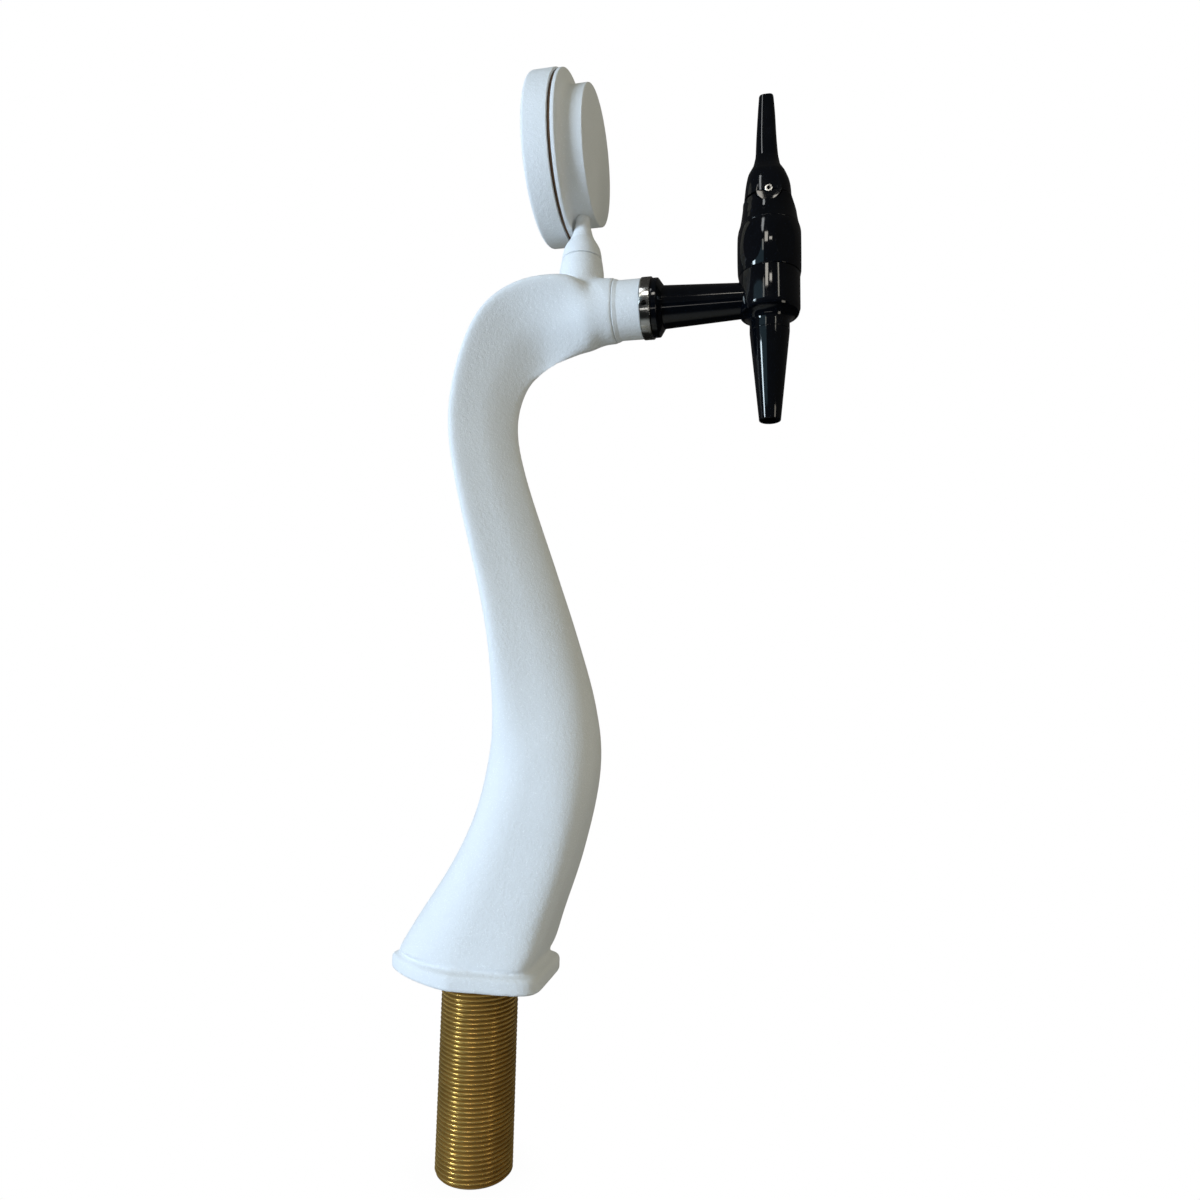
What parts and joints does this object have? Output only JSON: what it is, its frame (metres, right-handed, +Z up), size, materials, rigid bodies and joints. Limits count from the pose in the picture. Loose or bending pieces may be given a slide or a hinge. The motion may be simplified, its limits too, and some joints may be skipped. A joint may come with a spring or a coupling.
{
  "type": "beer font",
  "caption": "Counter-mounted beer font: white cast swan neck on a hollow brass screwed stem, with a round badge holder on a pillar and a black plunger tap worked by a cam lever.",
  "frame": {"origin": "on the stem's axis, in the plane of the base flange's underside", "axes": "+Z up along the stem, +X toward the tap, +Y to the left of someone who faces +X"},
  "size_m": [0.2292, 0.0982, 0.629],
  "materials": {
    "white_coat": "fine powder coat",
    "brass_thread": "cut thread",
    "black_gloss": "glossy",
    "chrome_bright": "polished",
    "steel_plain": "turned",
    "seal_rubber": "matt",
    "gasket_brown": "matt",
    "line_plastic": "smooth",
    "lens_clear": "clear",
    "disc_white": "plain"
  },
  "bodies": {
    "font": {"font_body": "white_coat", "threaded_stem": "brass_thread", "outlet_spigot": "white_coat", "hose_tail": "steel_plain", "shank_seal": "seal_rubber", "beer_line": "line_plastic", "lock_ring": "chrome_bright", "tap_body": "black_gloss", "nozzle": "black_gloss", "bonnet": "black_gloss", "bonnet_cap": "black_gloss", "cap_o_ring": "seal_rubber", "rod_o_ring": "seal_rubber", "return_spring": "steel_plain", "badge_stem": "white_coat", "badge_stud": "steel_plain", "badge_housing": "white_coat", "badge_gasket": "gasket_brown", "badge_bezel": "white_coat", "badge_lens": "lens_clear", "badge_disc": "disc_white"},
    "plunger": {"plunger": "steel_plain", "plunger_seal": "seal_rubber", "pivot_pin": "chrome_bright"},
    "lever": {"lever": "black_gloss"}
  },
  "joints": [
    {"name": "plunger_lift", "type": "slide", "parent": "font", "child": "plunger", "axis": [0, 0, 1], "range_m": [0, 0.0055], "deforming": ["return_spring"]},
    {"name": "lever_pull", "type": "hinge", "parent": "plunger", "child": "lever", "pos_m": [0.158, 0, 0.4389], "axis": [0, 1, 0], "range_deg": [0, 25]}
  ],
  "couplings": [
    {"joint": "plunger_lift", "follows": "lever_pull", "m_per_rad": 0.0126}
  ]
}
